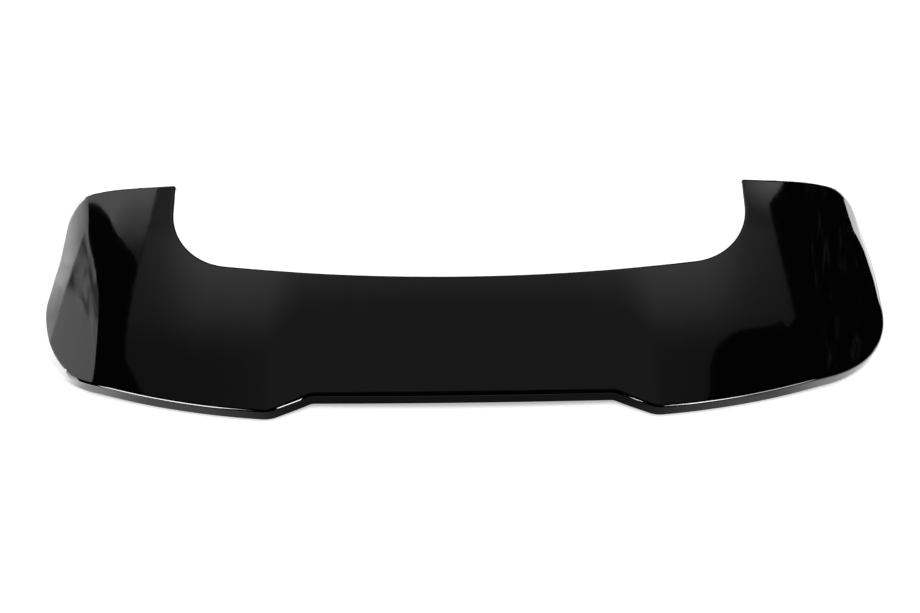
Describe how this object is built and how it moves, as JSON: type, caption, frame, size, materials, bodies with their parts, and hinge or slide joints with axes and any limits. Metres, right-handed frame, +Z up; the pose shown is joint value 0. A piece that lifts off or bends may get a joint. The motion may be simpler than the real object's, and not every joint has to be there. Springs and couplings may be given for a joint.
{
  "type": "car roof spoiler",
  "caption": "Gloss black moulded roof spoiler: a shallow U-shaped cap with forward wings, rolled-down sides and a turned-down trailing lip with a recessed middle.",
  "frame": {"origin": "middle of the width and depth, on the ground plane that the lip rests on", "axes": "+X across the car, +Y forward along the wings, +Z up from the ground plane"},
  "size_m": [1.212, 0.364, 0.1012],
  "materials": {
    "gloss_black_abs": "smooth high-gloss black moulded plastic"
  },
  "bodies": {
    "root": {"spoiler_shell": "gloss_black_abs"}
  },
  "joints": []
}
